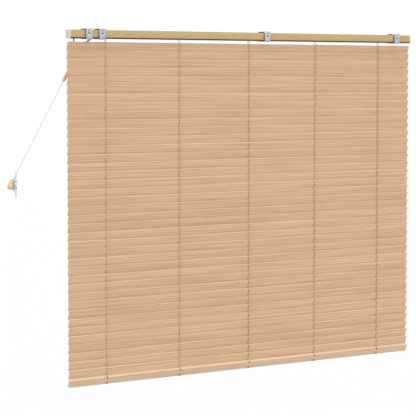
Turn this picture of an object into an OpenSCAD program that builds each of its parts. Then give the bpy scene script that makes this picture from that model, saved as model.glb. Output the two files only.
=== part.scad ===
// Wooden venetian blind, 35 mm slats, with its headrail, tilt gear, cords, brackets and cleat.
// Millimetres. X runs along the width, the front faces -Y, Z is up.
// The origin is on the brackets' top plates, midway between the outer brackets' screws.

/* [Slats] */
// Length of each slat
slat_l = 1500; // [1440:10:1800]
// Width of each slat
slat_w = 35; // [32:0.5:38]
// Thickness of each slat
slat_t = 2.7; // [2.2:0.1:3.2]
// Height from one slat to the next
slat_pitch = 31.4; // [30:0.1:34]
// Tilt of the closed slats, front edge up
slat_tilt = 72; // [66:1:75]
// Length of the routed cord slot, across the slat
slot_l = 19; // [17:0.5:22]
// Width of the routed cord slot
slot_w = 3; // [2.5:0.25:5]

/* [Bottom rail] */
// Width of the bottom rail
bottom_w = 30; // [26:0.5:34]
// Thickness of the bottom rail
bottom_t = 10; // [8:0.5:12]
// Radius of the bottom rail's long edges
bottom_edge_r = 2; // [1:0.25:3]
// Length of the oval cord button on the bottom rail
button_l = 16; // [12:0.5:20]
// Height of the oval cord button
button_h = 6; // [4:0.5:8]
// How far the cord button stands proud
button_t = 4; // [1:0.25:6]

/* [Headrail] */
// Height of the headrail
rail_h = 31; // [29:0.5:36]
// Depth of the headrail beyond the slat's width, at the front and at the back
rail_margin = 4; // [3.75:0.25:6]
// How far each end of the headrail stops short of the slats
rail_inset = 5; // [3:0.5:10]
// Sheet thickness of the headrail
rail_wall = 1; // [0.8:0.1:1.2]
// Radius of the headrail's rounded lower edges
rail_corner = 5; // [3:0.25:6]
// Width of the headrail's inturned upper lips
rail_lip = 5; // [3:0.25:6]
// Plate thickness of the end caps
cap_t = 2; // [1.5:0.25:4]
// Depth of the end caps' plugs inside the headrail
cap_plug = 6; // [3:0.5:8]
// Clear height between the headrail and the closed top slat
head_gap = 12; // [10:0.5:16]

/* [Brackets] */
// Width of each bracket
bracket_w = 25; // [18:0.5:26]
// Sheet thickness of the brackets
bracket_t = 1.5; // [1:0.1:2]
// Room for a screw head between the top plate and the headrail
screw_room = 3.5; // [2.5:0.25:6]
// Room between the headrail and the front plate
bracket_room = 6; // [2:0.5:10]
// Reach of the front plate below the headrail
bracket_drop = 4.5; // [3:0.25:6]
// Length of the lip that carries the headrail
bracket_lip = 14; // [8:0.5:16]
// Distance from each end of the headrail to the outer brackets' screws
bracket_inset = 70; // [60:1:80]
// Radius of the screw holes in the top and back plates
screw_hole_r = 2.25; // [1.75:0.05:2.75]

/* [Ladders and cords] */
// Distance from each end of the slats to the outer ladders
ladder_inset = 150; // [130:5:180]
// Diameter of the ladders' vertical cords
ladder_d = 2; // [1.2:0.1:2.2]
// Diameter of the lift cords
cord_d = 1.2; // [1:0.1:1.4]
// Diameter of the pull cord
pull_d = 2.6; // [2:0.1:3]

/* [Tilt gear] */
// Side of the square tilt rod
rod_side = 6; // [5:0.1:6.2]
// Radius of the ladder drums
drum_r = 10; // [9:0.25:10.25]
// Width of each ladder drum
drum_w = 8.6; // [7:0.2:10]
// Radius of the drums' journals
journal_r = 5; // [4.6:0.1:5.4]
// Teeth on the worm wheel
wheel_teeth = 20; // [16:1:24]
// Outer radius of the worm wheel
wheel_r = 8.5; // [7.5:0.25:9]
// Radius of the tilter's stem
stem_r = 3; // [2.5:0.1:3.4]

/* [Cord lock] */
// Length of the cord lock's housing
lock_l = 36; // [34:0.5:44]
// Radius of the cord lock's roller
roller_r = 3; // [2.5:0.1:3.5]
// Travel of the cord lock's roller
roller_travel = 2.5; // [1.5:0.1:3]

/* [Joiner, tassel and cleat] */
// Length of the cord joiner
joiner_l = 46; // [40:1:48]
// Diameter of the cord joiner
joiner_d = 12; // [10:0.5:13]
// Length of the end tassel
tassel_l = 34; // [30:1:44]
// Diameter of the end tassel
tassel_d = 21; // [14:0.5:24]
// Height of the cleat over its two horns
cleat_h = 94; // [84:1:110]
// Width of the cleat's post
cleat_w = 10; // [8:0.5:11]
// Width of the cleat's horns
horn_w = 6.5; // [5:0.5:8]
// How far the cleat stands off the wall
cleat_d = 24; // [22:0.5:28]

/* [Hidden] */
slat_count = 39;
ladder_count = 5;
over = 1;
clear = 0.3;
fit = 0.05;
$fn = 48;

function slat_name(i) = str("slat_", i < 10 ? "0" : "", i);

SLAT_NODES = [for (i = [1:slat_count]) slat_name(i)];

// Levels
cord_r = cord_d / 2;
ladder_r = ladder_d / 2;
rail_d = slat_w + 2 * rail_margin;
rail_l = slat_l - 2 * rail_inset;
rail_top = -bracket_t - screw_room;
rail_bottom = rail_top - rail_h;
floor_z = rail_bottom + rail_wall;
inner_d = rail_d - 2 * rail_wall;
edge_reach = slat_w / 2 - slat_t / 2;
slat_rise = edge_reach * sin(slat_tilt) + slat_t / 2;
first_z = rail_bottom - head_gap - slat_rise;
bottom_z = first_z - slat_count * slat_pitch;
function slat_z(i) = first_z - (i - 1) * slat_pitch;
ladder_spacing = (slat_l - 2 * ladder_inset) / (ladder_count - 1);
function ladder_x(k) = (k - (ladder_count - 1) / 2) * ladder_spacing;

// Ladder cords: tangent to the slats' rounded edges, and they travel with those edges
ladder_off = slat_t / 2 + clear + ladder_r;
ladder_y = edge_reach * cos(slat_tilt) + ladder_off;
ladder_reach = edge_reach + ladder_off + ladder_r;
end_tilt = 67.2;
ladder_travel = edge_reach * (sin(slat_tilt) + sin(end_tilt));
ladder_top = rail_top - rail_wall;
ladder_end = bottom_w / 2 + bottom_t + ladder_d + 2 * clear;

// Tilt gear
drum_gap = 0.5;
rod_z = rail_top - rail_wall - drum_r - drum_gap;
rod_corner_r = rod_side * sqrt(2) / 2;
drum_x = ladder_r + clear;
flange_t = 1.5;
groove_depth = 1.5;
cheek_t = 2;
cheek_half = 13;
cheek_rise = 7;
cheek_gap = 1;
left_cheek_x = -ladder_r - clear - cheek_t - cheek_gap;
right_cheek_x = drum_x + drum_w + cheek_gap;
foot_t = 1.2;
foot_y = cord_r + clear + cheek_gap;
foot_w = ladder_y - ladder_r - clear - foot_y;
cord_slot_half = cord_r + clear;
lane_step = cord_d + clear;
function lane_z(k) = floor_z + clear + cord_r + k * lane_step;

// Tilter
stem_inset = 21;
tilter_tail = 13;
tilter_x = -slat_l / 2 + stem_inset;
tilter_left = -rail_l / 2 + cap_plug + clear;
tilter_right = tilter_x + tilter_tail;
tilter_half = 15.4;
tilter_top = rail_top - rail_wall - clear;
wheel_t = 6;
tooth_depth = 1.6;
tooth_share = 0.25;
stem_y = -wheel_r - clear - stem_r;
stem_top = rod_z + wheel_r;
stem_tail = 11;
stem_eye_r = 1;
worm_groove = 0.7;
worm_pitch = 2.6;

// Cord lock
lock_inset = 98;
lock_x = -slat_l / 2 + lock_inset;
lock_half = 13.5;
lock_top = rod_z + rod_corner_r + clear + cheek_t;
roller_l = 16;
roller_back = 4;
roller_x = lock_x - roller_back;
roller_z = rod_z - rod_corner_r - clear - cheek_t - roller_r;
lock_wall = 2;
lock_exit_w = 9;
lock_exit_y = 12;
lock_lanes_top = lane_z(ladder_count - 1) + cord_r + clear;

// Brackets
bracket_h = -rail_bottom + bracket_drop;
lock_bracket_gap = 52;
mid_bracket_gap = 607;
outer_bracket_x = rail_l / 2 - bracket_inset;
bracket_xs = [-outer_bracket_x, -outer_bracket_x + lock_bracket_gap, outer_bracket_x - mid_bracket_gap,
    outer_bracket_x];
bracket_slot_r = 3.6;
bracket_pin_r = 3;
bracket_pin_share = 0.4;

// Cleat and the cord's run, with the wall behind the blind
wall_y = 36;
cleat_x = -943;
cleat_z = -557;
post_half_h = 19.5;
horn_t = 6;
horn_tip_t = 3;
horn_rise = 5;
horn_bulge = 2;
cleat_hole_r = 2;
cleat_hole_share = 0.55;

// The tails come down behind the slats to the joiner
joiner_top = [-732, 25, -150];
joiner_dir = [-23, 0, -39];
tails_exit = [lock_x, lock_exit_y, rail_bottom];
tail_run = [[-664, 15, -46], [-688, 22, -78], [-711, 25, -114]];
tail_spread = 1.6;

// The pull cord runs to the cleat, one and a half times round its post, and on to the tassel
pull_route = [[-761.7, 25, -201], [-794, 25, -260], [-826.4, 25, -319], [-858.8, 26, -378],
    [-891.1, 26, -437], [-923.5, 26.5, -496], [-936.3, 27, -520], [-942.4, 27, -529.4], [-948.8, 27, -538.6],
    [-949.6, 27, -544], [-949.6, 27, -557], [-949.6, 27, -571], [-948.4, 26.8, -575.9], [-943, 26.4, -578.7],
    [-937.6, 26, -575.9], [-936.4, 25.4, -571], [-936.4, 24.2, -557], [-936.4, 23, -543],
    [-937.6, 22.6, -538.1], [-943, 21.8, -535.3], [-948, 20, -535.4], [-953.5, 16.8, -535.6],
    [-956.6, 14.8, -537.4]];
tassel_top = [-957.9, 14, -540];
tassel_dir = [-8, 0, -35];

// A bar with round long edges, lying along X
module round_bar(l, w, t, r) {
    rotate([90, 0, 90])
        linear_extrude(l, center = true)
            union() {
                square([w - 2 * r, t], center = true);
                square([w, t - 2 * r], center = true);
                for (side_y = [-1, 1], side_z = [-1, 1])
                    translate([side_y * (w / 2 - r), side_z * (t / 2 - r)])
                        circle(r);
            }
}

// A flat bar with half-round long edges, lying along X
module half_round_bar(l, w, t) {
    rotate([90, 0, 90])
        linear_extrude(l, center = true)
            union() {
                square([w - t, t], center = true);
                for (side = [-1, 1])
                    translate([side * (w - t) / 2, 0])
                        circle(t / 2);
            }
}

module slot_cut(l, w, t) {
    translate([0, 0, -t / 2 - over])
        linear_extrude(t + 2 * over)
            union() {
                square([w, l - w], center = true);
                for (side = [-1, 1])
                    translate([0, side * (l - w) / 2])
                        circle(w / 2);
            }
}

module at_ladders() {
    for (k = [0:ladder_count - 1])
        translate([ladder_x(k), 0, 0])
            children();
}

module slat(i) {
    color("burlywood")
        translate([0, 0, slat_z(i)])
            rotate([-slat_tilt, 0, 0])
                difference() {
                    half_round_bar(slat_l, slat_w, slat_t);
                    at_ladders()
                        slot_cut(slot_l, slot_w, slat_t);
                }
}

module bottom_rail() {
    color("tan")
        translate([0, 0, bottom_z])
            rotate([-slat_tilt, 0, 0])
                round_bar(slat_l, bottom_w, bottom_t, bottom_edge_r);
}

// Oval cord buttons, seated on the front face of the bottom rail
module bottom_rail_buttons() {
    color("wheat")
        translate([0, 0, bottom_z])
            rotate([-slat_tilt, 0, 0])
                at_ladders()
                    translate([0, 0, -bottom_t / 2 - button_t])
                        linear_extrude(button_t)
                            union() {
                                square([button_l - button_h, button_h], center = true);
                                for (side = [-1, 1])
                                    translate([side * (button_l - button_h) / 2, 0])
                                        circle(button_h / 2);
                            }
}

// Outline of the headrail: square above, round below; the bottom edge is at y = 0
module rail_outline(w, h, r) {
    translate([-w / 2 + r, 0])
        square([w - 2 * r, h]);
    translate([-w / 2, r])
        square([w, h - r]);
    for (side = [-1, 1])
        translate([side * (w / 2 - r), r])
            circle(r);
}

module rail_bore_outline() {
    translate([0, rail_wall])
        rail_outline(inner_d, rail_h - 2 * rail_wall, rail_corner - rail_wall);
}

module headrail() {
    color("khaki")
        difference() {
            translate([-rail_l / 2, 0, rail_bottom])
                rotate([90, 0, 90])
                    linear_extrude(rail_l)
                        difference() {
                            rail_outline(rail_d, rail_h, rail_corner);
                            rail_bore_outline();
                            translate([-rail_d / 2 + rail_lip, rail_h / 2])
                                square([rail_d - 2 * rail_lip, rail_h]);
                        }
            at_ladders()
                translate([-ladder_d, -ladder_reach - clear, rail_bottom - over])
                    cube([2 * ladder_d, 2 * (ladder_reach + clear), rail_corner + over]);
            translate([tilter_x, stem_y, rail_bottom - over])
                cylinder(h = rail_wall + 2 * over, r = stem_r + clear);
            translate([lock_x - lock_exit_w, lock_exit_y - lock_exit_w / 2, rail_bottom - over])
                cube([2 * lock_exit_w, lock_exit_w, rail_wall + 2 * over]);
        }
}

module end_cap() {
    rotate([90, 0, 90])
        linear_extrude(cap_t)
            rail_outline(rail_d, rail_h, rail_corner);
    translate([-cap_plug, 0, 0])
        rotate([90, 0, 90])
            linear_extrude(cap_plug)
                difference() {
                    translate([0, rail_wall + fit])
                        rail_outline(inner_d - 2 * fit, rail_h - 2 * rail_wall - 2 * fit,
                            rail_corner - rail_wall - fit);
                    translate([0, 2 * rail_wall + fit])
                        rail_outline(inner_d - 2 * rail_wall, rail_h, rail_corner - 2 * rail_wall);
                }
}

module end_caps() {
    color("whitesmoke")
        for (side = [0, 1])
            mirror([side, 0, 0])
                translate([rail_l / 2, 0, rail_bottom])
                    end_cap();
}

// One folded sheet: front plate, top plate, back plate and the lip that carries the headrail
module bracket() {
    back_y = rail_d / 2 + fit + bracket_t;
    front_y = -rail_d / 2 - bracket_room - bracket_t;
    lip_y = back_y - bracket_t - bracket_lip;
    difference() {
        translate([-bracket_w / 2, 0, 0])
            rotate([90, 0, 90])
                linear_extrude(bracket_w)
                    union() {
                        translate([front_y, -bracket_t])
                            square([back_y - front_y, bracket_t]);
                        translate([front_y, -bracket_h])
                            square([bracket_t, bracket_h]);
                        translate([back_y - bracket_t, rail_bottom - bracket_t])
                            square([bracket_t, -rail_bottom + bracket_t]);
                        translate([lip_y, rail_bottom - bracket_t])
                            square([bracket_lip + bracket_t, bracket_t]);
                    }
        translate([0, 0, -bracket_t - over])
            cylinder(h = bracket_t + 2 * over, r = screw_hole_r);
        translate([0, back_y + over, rail_top - rail_h / 2])
            rotate([90, 0, 0])
                cylinder(h = bracket_t + 2 * over, r = screw_hole_r);
        translate([0, front_y, -bracket_t - bracket_slot_r])
            rotate([90, 0, 0])
                cylinder(h = 2 * (bracket_t + over), r = bracket_slot_r, center = true);
        translate([0, front_y, rail_top - bracket_pin_share * rail_h])
            rotate([90, 0, 0])
                cylinder(h = 2 * (bracket_t + over), r = bracket_pin_r, center = true);
    }
}

module brackets() {
    color("lightsteelblue")
        for (bracket_x = bracket_xs)
            translate([bracket_x, 0, 0])
                bracket();
}

module rod_section(side) {
    square([side, side], center = true);
}

module tilt_rod() {
    rod_start = tilter_left + cheek_t;
    rod_end = ladder_x(ladder_count - 1) + right_cheek_x + cheek_t + rod_side;
    color("silver")
        translate([rod_start, 0, rod_z])
            rotate([90, 0, 90])
                linear_extrude(rod_end - rod_start)
                    rod_section(rod_side);
}

// A grooved drum on two journals, bored square for the rod
module ladder_drum() {
    rotate([0, 90, 0])
        difference() {
            union() {
                translate([0, 0, left_cheek_x])
                    cylinder(h = right_cheek_x + cheek_t - left_cheek_x, r = journal_r);
                translate([0, 0, drum_x])
                    rotate_extrude()
                        polygon([[0, 0], [drum_r, 0], [drum_r, flange_t],
                            [drum_r - groove_depth, 2 * flange_t],
                            [drum_r - groove_depth, drum_w - 2 * flange_t], [drum_r, drum_w - flange_t],
                            [drum_r, drum_w], [0, drum_w]]);
            }
            translate([0, 0, left_cheek_x - over])
                linear_extrude(right_cheek_x + cheek_t - left_cheek_x + 2 * over)
                    rod_section(rod_side + 2 * fit);
        }
}

module ladder_drums() {
    color("white")
        at_ladders()
            translate([0, 0, rod_z])
                ladder_drum();
}

// Two cheeks with journal bores, joined by two feet on the headrail's floor
module drum_cradle() {
    for (cheek_x = [left_cheek_x, right_cheek_x])
        translate([cheek_x, 0, 0])
            difference() {
                translate([0, -cheek_half, floor_z])
                    cube([cheek_t, 2 * cheek_half, rod_z + cheek_rise - floor_z]);
                translate([-over, 0, rod_z])
                    rotate([0, 90, 0])
                        cylinder(h = cheek_t + 2 * over, r = journal_r + fit);
                translate([-over, -cord_slot_half, floor_z - over])
                    cube([cheek_t + 2 * over, 2 * cord_slot_half, lock_lanes_top - floor_z + over]);
            }
    for (side = [0, 1])
        mirror([0, side, 0])
            translate([left_cheek_x, foot_y, floor_z])
                cube([right_cheek_x + cheek_t - left_cheek_x, foot_w, foot_t]);
}

module drum_cradles() {
    color("gainsboro")
        at_ladders()
            drum_cradle();
}

module tilter_housing() {
    color("gray")
        difference() {
            translate([tilter_left, -tilter_half, floor_z])
                cube([tilter_right - tilter_left, 2 * tilter_half, tilter_top - floor_z]);
            translate([tilter_x - wheel_t / 2 - clear, 0, rod_z])
                rotate([0, 90, 0])
                    cylinder(h = wheel_t + 2 * clear, r = wheel_r + clear);
            translate([tilter_left - over, 0, rod_z])
                rotate([0, 90, 0])
                    cylinder(h = tilter_right - tilter_left + 2 * over, r = rod_corner_r + clear);
            translate([tilter_x, stem_y, floor_z - over])
                cylinder(h = stem_top + clear - floor_z + over, r = stem_r + fit);
        }
}

// The worm's stem, grooved beside the wheel, with an eye for a wand at its lower end
module tilter_stem() {
    grooves = floor(2 * wheel_r / worm_pitch);
    color("dimgray")
        translate([tilter_x, stem_y, 0])
            difference() {
                translate([0, 0, rail_bottom - stem_tail])
                    cylinder(h = stem_top - rail_bottom + stem_tail, r = stem_r);
                for (g = [0.5:grooves])
                    translate([0, 0, rod_z - wheel_r + g * worm_pitch])
                        rotate_extrude()
                            polygon([[stem_r + over, -worm_groove - over], [stem_r - worm_groove, 0],
                                [stem_r + over, worm_groove + over]]);
                translate([0, 0, rail_bottom - stem_tail + stem_r])
                    rotate([90, 0, 0])
                        cylinder(h = 2 * stem_r + 2 * over, r = stem_eye_r, center = true);
            }
}

module worm_wheel() {
    root_r = wheel_r - tooth_depth;
    step = 360 / wheel_teeth;
    tooth_rs = [root_r, wheel_r, wheel_r, root_r];
    corners = [for (i = [0:wheel_teeth - 1], j = [0:3])
        let (turn = (i + j * tooth_share) * step) tooth_rs[j] * [cos(turn), sin(turn)]];
    color("ivory")
        translate([tilter_x - wheel_t / 2, 0, rod_z])
            rotate([90, 0, 90])
                linear_extrude(wheel_t)
                    difference() {
                        polygon(corners);
                        rod_section(rod_side + 2 * fit);
                    }
}

module cord_lock() {
    lanes_h = lock_lanes_top - floor_z + over;
    color("gainsboro")
        difference() {
            translate([lock_x - lock_l / 2, -lock_half, floor_z])
                cube([lock_l, 2 * lock_half, lock_top - floor_z]);
            translate([lock_x - lock_l / 2 - over, 0, rod_z])
                rotate([0, 90, 0])
                    cylinder(h = lock_l + 2 * over, r = rod_corner_r + clear);
            for (step_x = [0, roller_travel])
                translate([roller_x + step_x, 0, roller_z])
                    rotate([90, 0, 0])
                        cylinder(h = roller_l + 2 * clear, r = roller_r + clear, center = true);
            translate([roller_x, -roller_l / 2 - clear, roller_z - roller_r - clear])
                cube([roller_travel, roller_l + 2 * clear, 2 * (roller_r + clear)]);
            translate([roller_x, -cord_slot_half, floor_z - over])
                cube([lock_x + lock_l / 2 - roller_x + over, 2 * cord_slot_half, lanes_h]);
            translate([lock_x - lock_exit_w + lock_wall, -cord_slot_half, floor_z - over])
                cube([2 * (lock_exit_w - lock_wall), lock_exit_y + lock_wall, lanes_h]);
        }
}

module cord_lock_roller() {
    color("silver")
        translate([roller_x, 0, roller_z])
            rotate([90, 0, 0])
                cylinder(h = roller_l, r = roller_r, center = true);
}

// Each lift cord runs up through the slats, turns in the headrail and runs to the cord lock
module lift_cords() {
    color("linen")
        for (k = [0:ladder_count - 1]) {
            start_z = bottom_z + bottom_w / 2 + clear + cord_r;
            translate([ladder_x(k), 0, start_z])
                cylinder(h = lane_z(k) - start_z, r = cord_r);
            translate([ladder_x(k), 0, lane_z(k)])
                sphere(cord_r);
            translate([lock_x + lock_exit_w, 0, lane_z(k)])
                rotate([0, 90, 0])
                    cylinder(h = ladder_x(k) - lock_x - lock_exit_w, r = cord_r);
        }
}

module ladder_front_cords() {
    color("tan")
        at_ladders()
            translate([0, -ladder_y, bottom_z + ladder_end])
                cylinder(h = ladder_top - bottom_z - ladder_end, r = ladder_r);
}

module ladder_rear_cords() {
    color("tan")
        at_ladders()
            translate([0, ladder_y, bottom_z + ladder_end - ladder_travel])
                cylinder(h = ladder_top - bottom_z - ladder_end, r = ladder_r);
}

// A round tube swept along a route of points
function unit(v) = v / norm(v);
function route_dir(p, i) = unit(p[min(i + 1, len(p) - 1)] - p[max(i - 1, 0)]);
function side_of(d) = unit(cross(d, [0, 1, 0]));
function tube_ring(c, d, r, n) = [for (j = [0:n - 1])
    c + r * cos(360 * j / n) * side_of(d) + r * sin(360 * j / n) * cross(side_of(d), d)];

module tube(p, r) {
    n = 8;
    m = len(p);
    points = [for (i = [0:m - 1]) each tube_ring(p[i], route_dir(p, i), r, n)];
    sides = [for (i = [0:m - 2], j = [0:n - 1])
        [i * n + j, (i + 1) * n + j, (i + 1) * n + (j + 1) % n, i * n + (j + 1) % n]];
    first = [for (j = [0:n - 1]) j];
    last = [for (j = [n - 1:-1:0]) (m - 1) * n + j];
    polyhedron(points, concat(sides, [first, last]), convexity = 8);
}

// A turned piece along a direction: profile shares are [radius, length from the top]
module turned(top, dir, d, l, shares) {
    along = unit(dir);
    translate(top)
        rotate([0, acos(along.z), atan2(along.y, along.x)])
            rotate_extrude()
                polygon([for (s = shares) [s.x * d / 2, s.y * l]]);
}

joiner_shares = [[0, 0], [0.74, 0], [0.9, 0.03], [0.97, 0.1], [1, 0.25], [1, 0.8], [0.96, 0.92], [0.86, 0.98],
    [0.7, 1], [0, 1]];
tassel_shares = [[0, 0], [0.34, 0], [0.41, 0.08], [0.53, 0.24], [0.74, 0.44], [0.93, 0.6], [1, 0.72],
    [0.98, 0.81], [0.88, 0.9], [0.68, 0.965], [0.38, 0.995], [0, 1]];

// The five tails leave the cord lock side by side and close up at the joiner
module lift_cord_tails() {
    color("linen")
        for (k = [0:ladder_count - 1]) {
            lane = k - (ladder_count - 1) / 2;
            fan = lane * tail_spread * side_of(joiner_dir);
            tube(concat([tails_exit + fan], [for (p = tail_run) p + fan], [joiner_top + fan]), cord_r);
        }
}

module cord_joiner() {
    color("burlywood")
        turned(joiner_top, joiner_dir, joiner_d, joiner_l, joiner_shares);
}

module pull_cord() {
    joiner_end = joiner_top + joiner_l * unit(joiner_dir);
    color("ivory")
        tube(concat([joiner_end], pull_route, [tassel_top]), pull_d / 2);
}

module end_tassel() {
    color("burlywood")
        turned(tassel_top, tassel_dir, tassel_d, tassel_l, tassel_shares);
}

// A post with round ends against the wall, and two horns that rise towards their tips
module cleat() {
    half_h = cleat_h / 2;
    tip_y = -cleat_d - horn_rise + horn_tip_t;
    root_y = -cleat_d + horn_t;
    horn = [[-cleat_d, post_half_h], [tip_y, half_h], [tip_y + horn_tip_t, half_h], [root_y, post_half_h]];
    lower = [for (i = [3:-1:0]) [horn[i].x, -horn[i].y]];
    color("white")
        translate([cleat_x, wall_y, cleat_z])
            difference() {
                union() {
                    rotate([90, 0, 0])
                        linear_extrude(cleat_d - horn_t)
                            union() {
                                square([cleat_w, 2 * post_half_h - cleat_w], center = true);
                                for (side = [-1, 1])
                                    translate([0, side * (post_half_h - cleat_w / 2)])
                                        circle(cleat_w / 2);
                            }
                    translate([-horn_w / 2, 0, 0])
                        rotate([90, 0, 90])
                            linear_extrude(horn_w)
                                polygon(concat([[-cleat_d - horn_bulge, 0]], horn, lower));
                }
                for (side = [-1, 1])
                    translate([0, over, side * cleat_hole_share * post_half_h])
                        rotate([90, 0, 0])
                            cylinder(h = cleat_d + horn_rise + 2 * over, r = cleat_hole_r);
            }
}

for (i = [1:slat_count])
    slat(i);
bottom_rail();
bottom_rail_buttons();
headrail();
end_caps();
brackets();
tilt_rod();
ladder_drums();
drum_cradles();
tilter_housing();
tilter_stem();
worm_wheel();
cord_lock();
cord_lock_roller();
lift_cords();
ladder_front_cords();
ladder_rear_cords();
lift_cord_tails();
cord_joiner();
pull_cord();
end_tassel();
cleat();
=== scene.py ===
"""A wooden venetian blind: finishes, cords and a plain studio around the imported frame."""
import math

import bmesh
import bpy
from mathutils import Matrix, Vector


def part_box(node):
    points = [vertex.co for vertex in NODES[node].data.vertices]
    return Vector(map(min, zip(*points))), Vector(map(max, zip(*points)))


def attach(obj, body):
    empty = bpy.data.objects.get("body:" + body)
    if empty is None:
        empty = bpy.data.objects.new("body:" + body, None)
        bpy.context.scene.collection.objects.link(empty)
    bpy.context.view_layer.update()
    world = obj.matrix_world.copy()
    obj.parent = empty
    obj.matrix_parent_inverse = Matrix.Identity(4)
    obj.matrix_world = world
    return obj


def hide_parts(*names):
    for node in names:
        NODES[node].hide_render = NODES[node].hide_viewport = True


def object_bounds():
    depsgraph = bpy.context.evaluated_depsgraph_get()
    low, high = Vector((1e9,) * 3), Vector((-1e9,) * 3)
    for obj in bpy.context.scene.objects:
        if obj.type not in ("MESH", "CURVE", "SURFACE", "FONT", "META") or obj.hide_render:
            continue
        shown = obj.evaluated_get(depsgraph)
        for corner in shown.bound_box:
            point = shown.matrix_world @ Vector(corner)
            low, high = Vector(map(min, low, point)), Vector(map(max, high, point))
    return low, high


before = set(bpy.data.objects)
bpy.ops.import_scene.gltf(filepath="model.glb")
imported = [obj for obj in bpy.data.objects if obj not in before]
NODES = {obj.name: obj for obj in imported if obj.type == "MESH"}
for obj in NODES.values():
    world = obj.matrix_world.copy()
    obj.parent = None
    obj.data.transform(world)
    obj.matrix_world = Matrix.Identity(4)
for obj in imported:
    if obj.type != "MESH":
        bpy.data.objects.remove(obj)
cad_low, cad_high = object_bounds()

MM = 0.001
WHITE = (1, 1, 1, 1)
SCENE = bpy.context.scene
SLATS = sorted(name for name in NODES if name.startswith("slat_"))

# Sizes and places that the construction fixes
LADDER_XS = [x * MM for x in (-600, -300, 0, 300, 600)]
SLAT_WIDTH = 35 * MM
SLAT_THICK = 2.7 * MM
SLAT_TILT = math.radians(72)
BOTTOM_WIDTH = 30 * MM
BOTTOM_THICK = 10 * MM
JOINER_TOP = Vector((-732, 25, -150)) * MM
JOINER_DIR = Vector((-23, 0, -39)).normalized()
JOINER_LENGTH = 46 * MM
TASSEL_TOP = Vector((-957.9, 14, -540)) * MM
CLEAT_AT = Vector((-943, 36, -557)) * MM

# Camera, fitted to the photograph's frame of 416 pixels; its angles are in radians
FRAME_PX = 416
FOCAL_PX = 1401.75
SENSOR_MM = 36.0
CAMERA_AT = (-2.67665, -4.68983, -0.18086)
CAMERA_AZIMUTH = 0.48973
CAMERA_PITCH = -0.05658
CAMERA_SHIFT_Y = -0.12
CAMERA_REACH = 60


def make_camera():
    data = bpy.data.cameras.new("camera")
    data.sensor_width = SENSOR_MM
    data.lens = SENSOR_MM * FOCAL_PX / FRAME_PX
    data.shift_y = CAMERA_SHIFT_Y
    data.clip_end = CAMERA_REACH
    camera = bpy.data.objects.new("camera", data)
    camera.location = CAMERA_AT
    camera.rotation_euler = (math.pi / 2 + CAMERA_PITCH, 0, -CAMERA_AZIMUTH)
    SCENE.collection.objects.link(camera)
    SCENE.camera = camera


make_camera()


# Node helpers

# Places of the colour sockets on a Mix node
MIX_FACTOR = 0
MIX_FIRST = 6
MIX_SECOND = 7
MIX_RESULT = 2


def rgb(red, green, blue):
    """An sRGB colour of 0 to 255 as a linear one with alpha."""
    def one(value):
        value /= 255
        return value / 12.92 if value <= 0.04045 else ((value + 0.055) / 1.055) ** 2.4
    return (one(red), one(green), one(blue), 1)


def new_material(name):
    """A material that has only its output and a Principled shader."""
    mat = bpy.data.materials.new(name)
    mat.use_nodes = True
    tree = mat.node_tree
    tree.nodes.clear()
    out = tree.nodes.new("ShaderNodeOutputMaterial")
    bsdf = tree.nodes.new("ShaderNodeBsdfPrincipled")
    tree.links.new(bsdf.outputs["BSDF"], out.inputs["Surface"])
    return mat, tree, bsdf


def add(tree, kind, inputs=None, **settings):
    """A node with its settings; inputs are values or the sockets that feed them."""
    node = tree.nodes.new(kind)
    for key, value in settings.items():
        setattr(node, key, value)
    for key, value in (inputs or {}).items():
        if isinstance(value, bpy.types.NodeSocket):
            tree.links.new(value, node.inputs[key])
        else:
            node.inputs[key].default_value = value
    return node


def noise(tree, vector, stretch, detail, roughness=0.55, distortion=0.0):
    """Noise whose features are 1 / stretch metres long on each axis."""
    place = add(tree, "ShaderNodeMapping", {"Vector": vector, "Scale": stretch})
    made = add(tree, "ShaderNodeTexNoise", {
        "Vector": place.outputs["Vector"], "Scale": 1.0, "Detail": detail, "Roughness": roughness,
        "Distortion": distortion})
    return made.outputs["Fac"]


def ramp(tree, fac, low, high, start=0.0, end=1.0):
    """Goes from start to end while fac goes from low to high."""
    made = add(tree, "ShaderNodeMapRange", {
        "Value": fac, "From Min": low, "From Max": high, "To Min": start, "To Max": end})
    return made.outputs["Result"]


def larger(tree, first, second):
    return add(tree, "ShaderNodeMath", {0: first, 1: second}, operation="MAXIMUM").outputs[0]


def mix(tree, fac, first, second, blend="MIX"):
    made = add(tree, "ShaderNodeMix", {MIX_FACTOR: fac, MIX_FIRST: first, MIX_SECOND: second},
               data_type="RGBA", blend_type=blend)
    return made.outputs[MIX_RESULT]


def bump(tree, bsdf, height, depth, strength):
    made = add(tree, "ShaderNodeBump", {"Height": height, "Distance": depth, "Strength": strength})
    tree.links.new(made.outputs["Normal"], bsdf.inputs["Normal"])


# Materials

# Gloss: the span of noise that it follows, and how far roughness goes below and above its mean
WEAR_SPAN = (0.3, 0.7)
WOOD_WEAR = (-0.07, 0.1)
COAT_WEAR = (-0.06, 0.08)

# Wood: features per metre along and across the grain
TONE_GRAIN = (1.6, 110)
STREAK_GRAIN = (3, 340)
FINE_GRAIN = (8, 900)
PORE_GRAIN = (40, 1700)
# The span of noise that draws each of them, and its strength at both ends where that isn't 0 and 1
TONE_SPAN = (0.36, 0.64)
STREAK_SPAN = (0.38, 0.68, 0.08, 0.82)
FINE_SPAN = (0.46, 0.72, 0.0, 0.45)
PORE_SPAN = (0.62, 0.74, 0.0, 0.4)
# How far apart the grain of two pieces can lie, in metres
GRAIN_SHIFT = (13.7, 4.1, 9.3)
GRAIN_DEPTH = 0.3 * MM
GRAIN_STRENGTH = 0.35

# Coats: the mottle's features per metre and its span of noise, and how much finer gloss and waves are
PLAIN_GRAIN = (90, 90, 90)
MOTTLE_SPAN = (0.35, 0.68)
GLOSS_FINENESS = 5
WAVE_FINENESS = 14
WAVE_DEPTH = 0.06 * MM
WAVE_STRENGTH = 0.4
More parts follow.
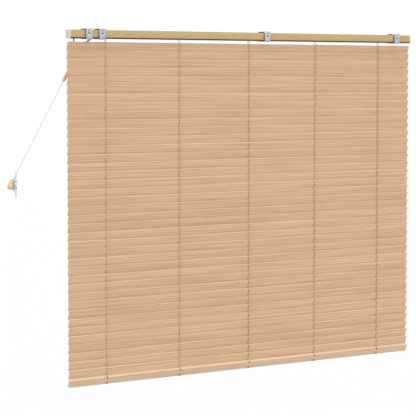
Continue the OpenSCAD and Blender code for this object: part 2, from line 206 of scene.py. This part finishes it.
# Faces that look down get a painted shade and matt gloss
# The height of a normal at which a face starts to look down, and at which it does so fully
DOWN_SHADE_AND_MATT_SPAN = (0.0, -0.25)

# Braid: a Wave texture multiplies its coordinate by 20, so its scale is divided by that
BRAID_PITCH = 2.2 * MM
PULL_BRAID_PITCH = 3 * MM
WAVE_FACTOR = 20
STRAND_SLANT = 0.7
STRAND_WANDER = 0.6
STRAND_DEPTH = 0.2 * MM
STRAND_STRENGTH = 0.5
FUZZ_GRAIN = (2600, 2600, 2600)
FUZZ_SPAN = (0.5, 0.8, 0.0, 0.35)
CORD_ROUGH = 0.85
CORD_SHEEN = 0.2


def worn(tree, fac, mean, wear):
    """Roughness about a mean, led by noise."""
    below, above = wear
    return ramp(tree, fac, *WEAR_SPAN, mean + below, mean + above)


def wood(name, pink, yellow, dark, spread=0.025, grain_axis=0, rough=0.5, specular=0.35, coat=0.0):
    """Straight-grained wood: broad tones, streaks, fine lines and pores, all drawn out along one axis.

    spread is how much lighter or darker than the mean a piece may be.
    """
    mat, tree, bsdf = new_material(name)
    coord = add(tree, "ShaderNodeTexCoord").outputs["Object"]
    chance = add(tree, "ShaderNodeObjectInfo").outputs["Random"]
    shift = add(tree, "ShaderNodeVectorMath", {0: GRAIN_SHIFT, "Scale": chance}, operation="SCALE")
    place = add(tree, "ShaderNodeVectorMath", {0: coord, 1: shift.outputs[0]}, operation="ADD").outputs[0]

    def lines(grain, **settings):
        along, across = grain
        stretch = [across] * 3
        stretch[grain_axis] = along
        return noise(tree, place, tuple(stretch), **settings)

    tone = lines(TONE_GRAIN, detail=2)
    streak = lines(STREAK_GRAIN, detail=3, roughness=0.6, distortion=0.15)
    fine = lines(FINE_GRAIN, detail=3, roughness=0.6)
    pores = lines(PORE_GRAIN, detail=2)
    base = mix(tree, ramp(tree, tone, *TONE_SPAN), pink, yellow)
    base = mix(tree, ramp(tree, streak, *STREAK_SPAN), base, dark)
    base = mix(tree, ramp(tree, fine, *FINE_SPAN), base, dark)
    base = mix(tree, ramp(tree, pores, *PORE_SPAN), base, dark, "MULTIPLY")
    level = ramp(tree, chance, 0.0, 1.0, 1.0 - spread, 1.0 + spread)
    base = add(tree, "ShaderNodeHueSaturation", {"Color": base, "Value": level}).outputs["Color"]
    tree.links.new(base, bsdf.inputs["Base Color"])
    tree.links.new(worn(tree, fine, rough, WOOD_WEAR), bsdf.inputs["Roughness"])
    bsdf.inputs["Specular IOR Level"].default_value = specular
    bsdf.inputs["Coat Weight"].default_value = coat
    bump(tree, bsdf, fine, GRAIN_DEPTH, GRAIN_STRENGTH)
    return mat


def coated(name, colour, shade, rough, metallic=0.0, grain=PLAIN_GRAIN, coat=0.0, under=None):
    """Paint, plastic or plated metal: a faint mottle, tiny surface waves and worn gloss.

    under is a painted shade: the colour of faces that look down, which are also matt.
    """
    mat, tree, bsdf = new_material(name)
    coord = add(tree, "ShaderNodeTexCoord").outputs["Object"]
    mottle = noise(tree, coord, grain, detail=4)
    base = mix(tree, ramp(tree, mottle, *MOTTLE_SPAN), colour, shade)
    gloss = noise(tree, coord, tuple(GLOSS_FINENESS * g for g in grain), detail=2)
    roughness = worn(tree, gloss, rough, COAT_WEAR)
    # Painted shade: faces that look down take the colour under, and they are matt
    if under:
        normal = add(tree, "ShaderNodeTexCoord").outputs["Normal"]
        height = add(tree, "ShaderNodeSeparateXYZ", {"Vector": normal}).outputs["Z"]
        down = ramp(tree, height, *DOWN_SHADE_AND_MATT_SPAN)
        base = mix(tree, down, base, under)
        roughness = larger(tree, roughness, down)
    tree.links.new(base, bsdf.inputs["Base Color"])
    tree.links.new(roughness, bsdf.inputs["Roughness"])
    bsdf.inputs["Metallic"].default_value = metallic
    bsdf.inputs["Coat Weight"].default_value = coat
    waves = noise(tree, coord, tuple(WAVE_FINENESS * g for g in grain), detail=2)
    bump(tree, bsdf, waves, WAVE_DEPTH, WAVE_STRENGTH)
    return mat


def braided(name, colour, shade, pitch=BRAID_PITCH):
    """A braided cord: slanting strands along Z, fuzz between them and painted shade in its grooves."""
    mat, tree, bsdf = new_material(name)
    coord = add(tree, "ShaderNodeTexCoord").outputs["Object"]

    def strands(slant):
        turned = add(tree, "ShaderNodeMapping", {"Vector": coord, "Rotation": (0.0, slant, 0.0)})
        wave = add(tree, "ShaderNodeTexWave", {
            "Vector": turned.outputs["Vector"], "Scale": math.tau / (WAVE_FACTOR * pitch),
            "Distortion": STRAND_WANDER, "Detail": 1.0}, bands_direction="Z")
        return wave.outputs["Fac"]

    weave = larger(tree, strands(STRAND_SLANT), strands(-STRAND_SLANT))
    fuzz = noise(tree, coord, FUZZ_GRAIN, detail=2)
    # Painted shade where the weave is low, in the grooves between strands; the fuzz adds random darker tone
    base = mix(tree, weave, shade, colour)
    base = mix(tree, ramp(tree, fuzz, *FUZZ_SPAN), base, shade)
    tree.links.new(base, bsdf.inputs["Base Color"])
    bsdf.inputs["Roughness"].default_value = CORD_ROUGH
    bsdf.inputs["Sheen Weight"].default_value = CORD_SHEEN
    bump(tree, bsdf, weave, STRAND_DEPTH, STRAND_STRENGTH)
    return mat


SLAT_WOOD = wood("slat_wood", rgb(224, 192, 165), rgb(220, 196, 160), rgb(191, 152, 115))
RAIL_WOOD = wood("rail_wood", rgb(217, 187, 158), rgb(213, 187, 154), rgb(192, 158, 124),
                 spread=0.02, rough=0.34, specular=0.5, coat=0.5)
TURNED_WOOD = wood("turned_wood", rgb(222, 187, 149), rgb(218, 185, 143), rgb(190, 147, 108),
                   spread=0.02, grain_axis=2, rough=0.4)
BUTTON_WOOD = wood("button_wood", rgb(234, 200, 162), rgb(230, 198, 156), rgb(208, 168, 128), spread=0.02)
# The headrail's faces that look down get a dark brown painted shade
RAIL_PAINT = coated("rail_paint", rgb(186, 163, 113), rgb(176, 152, 102), rough=0.42,
                    grain=(30, 140, 140), under=rgb(104, 68, 34))
CAP_PLASTIC = coated("cap_plastic", rgb(214, 217, 214), rgb(202, 206, 204), rough=0.3, coat=0.3)
BRACKET_METAL = coated("bracket_metal", rgb(174, 177, 184), rgb(148, 151, 160), rough=0.42,
                       metallic=0.3, grain=(60, 160, 160))
ROD_STEEL = coated("rod_steel", rgb(164, 165, 169), rgb(140, 141, 146), rough=0.3,
                   metallic=1.0, grain=(12, 300, 300))
STEM_METAL = coated("stem_metal", rgb(112, 114, 122), rgb(88, 90, 98), rough=0.4,
                    metallic=0.5, grain=(200, 200, 60))
GEAR_PLASTIC = coated("gear_plastic", rgb(208, 208, 203), rgb(194, 194, 189), rough=0.5)
TILTER_PLASTIC = coated("tilter_plastic", rgb(150, 150, 154), rgb(134, 134, 140), rough=0.5)
CLEAT_PLASTIC = coated("cleat_plastic", rgb(204, 216, 226), rgb(190, 204, 216), rough=0.28, coat=0.3)
SCREW_STEEL = coated("screw_steel", rgb(150, 152, 158), rgb(120, 122, 128), rough=0.32, metallic=1.0)
LADDER_CORD = braided("ladder_cord", rgb(206, 178, 136), rgb(182, 154, 114))
# The ladder cords' ends on the bottom rail: the same tan cord, painted dark brown as shade
SHADED_CORD_END = braided("cord_end", rgb(146, 108, 80), rgb(120, 84, 60))
# The lift cords' tails are as light as the pull cord; their dark grey-brown is painted shade
SHADED_TAIL_CORD = braided("lift_cord", rgb(150, 142, 126), rgb(120, 112, 98))
PULL_CORD = braided("pull_cord", rgb(206, 205, 196), rgb(182, 180, 170), PULL_BRAID_PITCH)


# CAD nodes: their finishes and softer edges

FINISH = {
    "bottom_rail": RAIL_WOOD,
    "bottom_rail_buttons": BUTTON_WOOD,
    "headrail": RAIL_PAINT,
    "end_caps": CAP_PLASTIC,
    "brackets": BRACKET_METAL,
    "tilt_rod": ROD_STEEL,
    "ladder_drums": GEAR_PLASTIC,
    "drum_cradles": GEAR_PLASTIC,
    "tilter_housing": TILTER_PLASTIC,
    "tilter_stem": STEM_METAL,
    "worm_wheel": GEAR_PLASTIC,
    "cord_lock": GEAR_PLASTIC,
    "cord_lock_roller": ROD_STEEL,
    "lift_cords": LADDER_CORD,
    "cord_joiner": TURNED_WOOD,
    "end_tassel": TURNED_WOOD,
    "cleat": CLEAT_PLASTIC,
}
FINISH.update({name: SLAT_WOOD for name in SLATS})

WELD_DISTANCE = 0.01 * MM
SMOOTH_ANGLE = math.radians(35)
BEVEL_ANGLE = math.radians(40)
# Nodes whose sharp edges are rounded, with the width and the number of segments
ROUNDED = {
    "brackets": (0.3 * MM, 2),
    "cleat": (0.9 * MM, 3),
    "end_caps": (0.5 * MM, 2),
    "bottom_rail_buttons": (1.2 * MM, 3),
}
# Nodes that are only shaded smoothly
SMOOTHED = ("cord_joiner", "end_tassel", "bottom_rail", "headrail", "tilter_stem", "ladder_drums",
            "worm_wheel", "cord_lock_roller", "lift_cords")


def dress_nodes():
    for name, mat in FINISH.items():
        NODES[name].data.materials.clear()
        NODES[name].data.materials.append(mat)


def geometry_group(name):
    """An empty geometry node group, the socket that brings a mesh in and the one that takes it out."""
    group = bpy.data.node_groups.new(name, "GeometryNodeTree")
    for way in ("INPUT", "OUTPUT"):
        group.interface.new_socket("Geometry", in_out=way, socket_type="NodeSocketGeometry")
    start = add(group, "NodeGroupInput")
    end = add(group, "NodeGroupOutput")
    return group, start.outputs[0], end.inputs[0]


def weld_group():
    """Joins the vertices that the CAD mesh keeps apart along its edges."""
    group, start, end = geometry_group("weld")
    welded = add(group, "GeometryNodeMergeByDistance", {"Geometry": start, "Distance": WELD_DISTANCE})
    group.links.new(welded.outputs[0], end)
    return group


def smooth_group():
    """Shades faces smoothly and keeps the edges that are sharper than the angle."""
    group, start, end = geometry_group("smooth_by_angle")
    bend = add(group, "GeometryNodeInputMeshEdgeAngle")
    sharp = add(group, "FunctionNodeCompare", {0: bend.outputs["Unsigned Angle"], 1: SMOOTH_ANGLE},
                operation="GREATER_THAN")
    shaded = add(group, "GeometryNodeSetMeshNormal", {
        "Mesh": start, "Remove Custom": True, "Edge Sharpness": sharp.outputs[0]}, mode="SHARPNESS")
    group.links.new(shaded.outputs[0], end)
    return group


def soften_nodes():
    weld = weld_group()
    smooth = smooth_group()
    for name in (*ROUNDED, *SMOOTHED):
        tools = NODES[name].modifiers
        tools.new("weld", "NODES").node_group = weld
        if name in ROUNDED:
            edge = tools.new("edge", "BEVEL")
            edge.width, edge.segments = ROUNDED[name]
            edge.limit_method = "ANGLE"
            edge.angle_limit = BEVEL_ANGLE
        tools.new("smooth", "NODES").node_group = smooth


dress_nodes()
soften_nodes()


# Cords

def metres(points):
    return [Vector(p) * MM for p in points]


TAIL_COUNT = 5
TAIL_RADIUS = 0.6 * MM
TAIL_SPREAD = 1.6 * MM
TAIL_RUN = metres([(-652, 12, -36), (-664, 15, -46), (-688, 22, -78), (-711, 25, -114)])
PULL_RADIUS = 1.3 * MM
# From the joiner down to the cleat, one turn round it and on to the tassel
PULL_ROUTE = metres([
    (-761.7, 25, -201), (-794, 25, -260), (-826.4, 25, -319), (-858.8, 26, -378),
    (-891.1, 26, -437), (-923.5, 26.5, -496), (-936.3, 27, -520), (-942.4, 27, -529.4),
    (-948.8, 27, -538.6), (-949.6, 27, -544), (-949.6, 27, -557), (-949.6, 27, -571),
    (-948.4, 26.8, -575.9), (-943, 26.4, -578.7), (-937.6, 26, -575.9), (-936.4, 25.4, -571),
    (-936.4, 24.2, -557), (-936.4, 23, -543), (-937.6, 22.6, -538.1), (-943, 21.8, -535.3),
    (-948, 20, -535.4), (-953.5, 16.8, -535.6), (-956.6, 14.8, -537.4)])


def smooth_path(points, steps=6):
    """A Catmull-Rom curve through the points, with so many steps from one to the next."""
    ends = [2 * points[0] - points[1], *points, 2 * points[-1] - points[-2]]
    path = []
    for a, b, c, d in zip(ends, ends[1:], ends[2:], ends[3:]):
        for i in range(steps):
            t = i / steps
            path.append(0.5 * (2 * b + (c - a) * t + (2 * a - 5 * b + 4 * c - d) * t ** 2
                               + (3 * b - a - 3 * c + d) * t ** 3))
    return path + [points[-1]]


def enter(piece, body):
    """Puts a piece into the scene and on its body."""
    SCENE.collection.objects.link(piece)
    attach(piece, body)


def curve_piece(name, paths, radius, mat, body, roundness=3):
    """One curve with a round section along each path; a higher roundness gives the section more sides."""
    data = bpy.data.curves.new(name, "CURVE")
    data.dimensions = "3D"
    data.bevel_depth = radius
    data.bevel_resolution = roundness
    data.use_fill_caps = True
    for path in paths:
        spline = data.splines.new("POLY")
        spline.points.add(len(path) - 1)
        for point, place in zip(spline.points, path):
            point.co = (*place, 1)
        spline.use_smooth = True
    data.materials.append(mat)
    piece = bpy.data.objects.new(name, data)
    enter(piece, body)
    return piece


def make_tails():
    """The lift cords' tails, side by side from the cord lock to the joiner, which goes with the first."""
    side = JOINER_DIR.cross(Vector((0, 1, 0)))
    for k in range(TAIL_COUNT):
        fan = (k - TAIL_COUNT // 2) * TAIL_SPREAD * side
        path = smooth_path([p + fan for p in TAIL_RUN + [JOINER_TOP]])
        # The tails take the dark cord colour as painted shade
        piece = curve_piece(f"lift_tail_{k + 1}", [path], TAIL_RADIUS, SHADED_TAIL_CORD, "frame")
        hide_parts("lift_cord_tails")


def make_pull_cord():
    path = smooth_path([JOINER_TOP + JOINER_LENGTH * JOINER_DIR, *PULL_ROUTE, TASSEL_TOP])
    piece = curve_piece("pull_cord_line", [path], PULL_RADIUS, PULL_CORD, "frame", roundness=4)
    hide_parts("pull_cord")


make_tails()
make_pull_cord()


# Cleat screws

SCREW_RADIUS = 3 * MM
SCREW_HEIGHT = 1.5 * MM
GROOVE_HALF = 0.14 * SCREW_RADIUS
GROOVE_WALL = 0.02 * SCREW_RADIUS
GROOVE_DEPTH = 0.4 * SCREW_HEIGHT
CUT_TOLERANCE = 1e-7
# The screws' places on the cleat, above and below its middle, where its face slopes away
CLEAT_SCREW_Z = 10.7 * MM
CLEAT_FACE_Y = -24.9 * MM
CLEAT_FACE_SLOPE = 0.1


def screw_head():
    """A slotted pan head that faces up, its middle at the origin."""
    head = bmesh.new()
    bmesh.ops.create_uvsphere(head, u_segments=24, v_segments=12, radius=1.0)
    bmesh.ops.scale(head, vec=(SCREW_RADIUS, SCREW_RADIUS, SCREW_HEIGHT), verts=head.verts)
    for x in (-GROOVE_HALF - GROOVE_WALL, -GROOVE_HALF, GROOVE_HALF, GROOVE_HALF + GROOVE_WALL):
        bmesh.ops.bisect_plane(head, geom=head.verts[:] + head.edges[:] + head.faces[:],
                               dist=CUT_TOLERANCE, plane_co=(x, 0, 0), plane_no=(1, 0, 0))
    for vert in head.verts:
        if abs(vert.co.x) <= GROOVE_HALF + 0.5 * GROOVE_WALL:
            vert.co.z = min(vert.co.z, SCREW_HEIGHT - GROOVE_DEPTH)
    return head


def make_cleat_screws():
    both = bmesh.new()
    for side in (-1, 1):
        point = CLEAT_AT + Vector((0, CLEAT_FACE_Y, side * CLEAT_SCREW_Z))
        facing = Vector((0, -1, side * CLEAT_FACE_SLOPE))
        turn = facing.to_track_quat("Z", "Y").to_matrix().to_4x4()
        head = screw_head()
        bmesh.ops.transform(head, matrix=Matrix.Translation(point) @ turn, verts=head.verts)
        part = bpy.data.meshes.new("screw")
        head.to_mesh(part)
        head.free()
        both.from_mesh(part)
        bpy.data.meshes.remove(part)
    mesh = bpy.data.meshes.new("cleat_screws")
    both.to_mesh(mesh)
    both.free()
    mesh.materials.append(SCREW_STEEL)
    enter(bpy.data.objects.new("cleat_screws", mesh), "frame")


make_cleat_screws()


# Ladders: vertical cords, the rungs under each slat and the ends on the bottom rail

LADDER_RADIUS = 0.65 * MM
# How far the front cords reach below their CAD node, down to the leaders
FRONT_CORD_EXTRA = 3.4 * MM
RUNG_RADIUS = 0.6 * MM
RUNG_OFFSET = 1.3 * MM
RUNG_HOOK_ANGLES = (0.0, 0.5, 1.0)
BOTTOM_CORD_RADIUS = 1.4 * MM
BOTTOM_CORD_STEPS = 4
BOTTOM_EDGE = BOTTOM_WIDTH / 2
# The cord's middle lies just outside the rail's face, so most of it shows
BOTTOM_FACE = BOTTOM_THICK / 2 + 0.4 * BOTTOM_CORD_RADIUS
# Points as tilted() takes them, across and out
BOTTOM_CORD = [
    (-BOTTOM_EDGE - 0.4 * MM, 2.5 * MM),
    (-BOTTOM_EDGE - 0.3 * MM, 3.6 * MM),
    (-BOTTOM_EDGE + 0.7 * MM, BOTTOM_FACE - 0.6 * MM),
    (-BOTTOM_EDGE + 2.5 * MM, BOTTOM_FACE),
    (-0.3 * BOTTOM_EDGE, BOTTOM_FACE),
    (0.3 * BOTTOM_EDGE, BOTTOM_FACE),
    (BOTTOM_EDGE - 2.5 * MM, BOTTOM_FACE),
    (BOTTOM_EDGE - 0.7 * MM, BOTTOM_FACE - 0.6 * MM),
    (BOTTOM_EDGE + 0.5 * MM, 2 * MM),
    (BOTTOM_EDGE + 0.3 * MM, -2 * MM),
]
BOTTOM_LEADER = [
    (-BOTTOM_EDGE - 10.4 * MM, 0.0),
    (-BOTTOM_EDGE - 5 * MM, 1.6 * MM),
    (-BOTTOM_EDGE, 3.2 * MM),
]


def middle(name):
    """The middle of a node's box, at X 0."""
    low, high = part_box(name)
    return Vector((0, (low.y + high.y) / 2, (low.z + high.z) / 2))


def tilted(centre, across, out):
    """A point beside a slat or rail, from its middle, at rest.

    across runs to its rear edge, which is the lower one, and out from its underside, which faces the front.
    """
    turn = Matrix.Rotation(-SLAT_TILT, 3, "X")
    return centre + turn @ Vector((0, across, -out))


def make_ladder_cords(node, body, extra):
    low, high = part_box(node)
    centre = middle(node)
    paths = []
    for x in LADDER_XS:
        paths.append([Vector((x, centre.y, z)) for z in (high.z, centre.z, low.z - extra)])
    piece = curve_piece(node + "_line", paths, LADDER_RADIUS, LADDER_CORD, body)
    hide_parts(node)


def make_rungs(slat):
    """Two thin cords under the slat at each ladder, hooked round both of its edges."""
    centre = middle(slat)
    edge = SLAT_WIDTH / 2 - SLAT_THICK / 2
    reach = SLAT_THICK / 2 + RUNG_RADIUS
    hook = [(reach * math.sin(a), reach * math.cos(a)) for a in RUNG_HOOK_ANGLES]
    front = [tilted(centre, -edge - across, out) for across, out in reversed(hook)]
    rear = [tilted(centre, edge + across, out) for across, out in hook]
    paths = []
    for x in LADDER_XS:
        for side in (-1, 1):
            shift = Vector((x + side * RUNG_OFFSET, 0, 0))
            paths.append([p + shift for p in front + rear])
    number = slat[-2:]
    curve_piece("rungs_" + number, paths, RUNG_RADIUS, LADDER_CORD, slat, roundness=1)


def make_bottom_fixings():
    """The ladders' ends on the bottom rail: leaders down to its front edge, then cords over its face."""
    centre = middle("bottom_rail")

    def at_ladders(profile):
        points = [tilted(centre, across, out) for across, out in profile]
        return [[p + Vector((x, 0, 0)) for p in points] for x in LADDER_XS]

    cords = [smooth_path(path, BOTTOM_CORD_STEPS) for path in at_ladders(BOTTOM_CORD)]
    # The cords over the rail's face are painted dark brown as shade, darker than the leaders' cord
    curve_piece("bottom_cords", cords, BOTTOM_CORD_RADIUS, SHADED_CORD_END, "bottom_rail")
    leaders = at_ladders(BOTTOM_LEADER)
    curve_piece("bottom_leaders", leaders, LADDER_RADIUS, LADDER_CORD, "bottom_rail")


make_ladder_cords("ladder_front_cords", "front_cords", FRONT_CORD_EXTRA)
make_ladder_cords("ladder_rear_cords", "rear_cords", 0.0)
for slat_name in SLATS:
    make_rungs(slat_name)
make_bottom_fixings()


# Studio

FLOOR_GREY = (0.35, 0.35, 0.35, 1)
FLOOR_ROUGH = 0.9
# The share of plain white in the floor where it is seen; the rest keeps the shadow
FLOOR_WHITENESS = 0.985
FLOOR_REACH = 14.0
FLOOR_DROP = 0.35
WORLD_STRENGTH = 0.50
# Soft suns: the way from the object to the light, its strength and its width in degrees
LAMPS = {
    "key": ((0.16, -0.80, 0.50), 1.78, 60),
    "top": ((0.05, -0.20, 0.97), 1.6, 60),
    "side": ((-0.90, -0.30, 0.30), 0.8, 40),
    "back": ((0.40, 0.85, 0.35), 1.4, 40),
}


def seen_rays(tree):
    """1 for rays that show the background, also in metal and glass, and 0 for those that light the object."""
    path = add(tree, "ShaderNodeLightPath")
    seen = larger(tree, path.outputs["Is Camera Ray"], path.outputs["Is Glossy Ray"])
    return larger(tree, seen, path.outputs["Is Transmission Ray"])


def make_floor():
    """A floor below the blind that is seen almost white and lights the blind as a grey one."""
    mat, tree, bsdf = new_material("floor")
    bsdf.inputs["Base Color"].default_value = FLOOR_GREY
    bsdf.inputs["Roughness"].default_value = FLOOR_ROUGH
    glow = add(tree, "ShaderNodeEmission", {"Color": WHITE, "Strength": 1.0})
    share = add(tree, "ShaderNodeMath", {0: seen_rays(tree), 1: FLOOR_WHITENESS}, operation="MULTIPLY")
    both = add(tree, "ShaderNodeMixShader", {0: share.outputs[0], 1: bsdf.outputs[0], 2: glow.outputs[0]})
    out = next(n for n in tree.nodes if n.type == "OUTPUT_MATERIAL")
    tree.links.new(both.outputs[0], out.inputs["Surface"])
    mesh = bpy.data.meshes.new("floor")
    height = cad_low.z - FLOOR_DROP
    corners = [(x * FLOOR_REACH, y * FLOOR_REACH, height) for x, y in ((-1, -1), (1, -1), (1, 1), (-1, 1))]
    mesh.from_pydata(corners, [], [(0, 1, 2, 3)])
    mesh.materials.append(mat)
    floor = bpy.data.objects.new("floor", mesh)
    SCENE.collection.objects.link(floor)


def make_world():
    """A surround that is seen plain white and lights the object less brightly."""
    world = bpy.data.worlds.new("studio")
    SCENE.world = world
    world.use_nodes = True
    tree = world.node_tree
    tree.nodes.clear()
    out = tree.nodes.new("ShaderNodeOutputWorld")
    soft = add(tree, "ShaderNodeBackground", {"Color": WHITE, "Strength": WORLD_STRENGTH})
    white = add(tree, "ShaderNodeBackground", {"Color": WHITE, "Strength": 1.0})
    both = add(tree, "ShaderNodeMixShader", {0: seen_rays(tree), 1: soft.outputs[0], 2: white.outputs[0]})
    tree.links.new(both.outputs[0], out.inputs["Surface"])


def make_lamps():
    for name, (towards, strength, width) in LAMPS.items():
        data = bpy.data.lights.new(name, "SUN")
        data.energy = strength
        data.angle = math.radians(width)
        lamp = bpy.data.objects.new(name, data)
        lamp.rotation_euler = Vector(towards).to_track_quat("Z", "Y").to_euler()
        SCENE.collection.objects.link(lamp)


make_floor()
make_world()
make_lamps()

SCENE.view_settings.view_transform = "Standard"
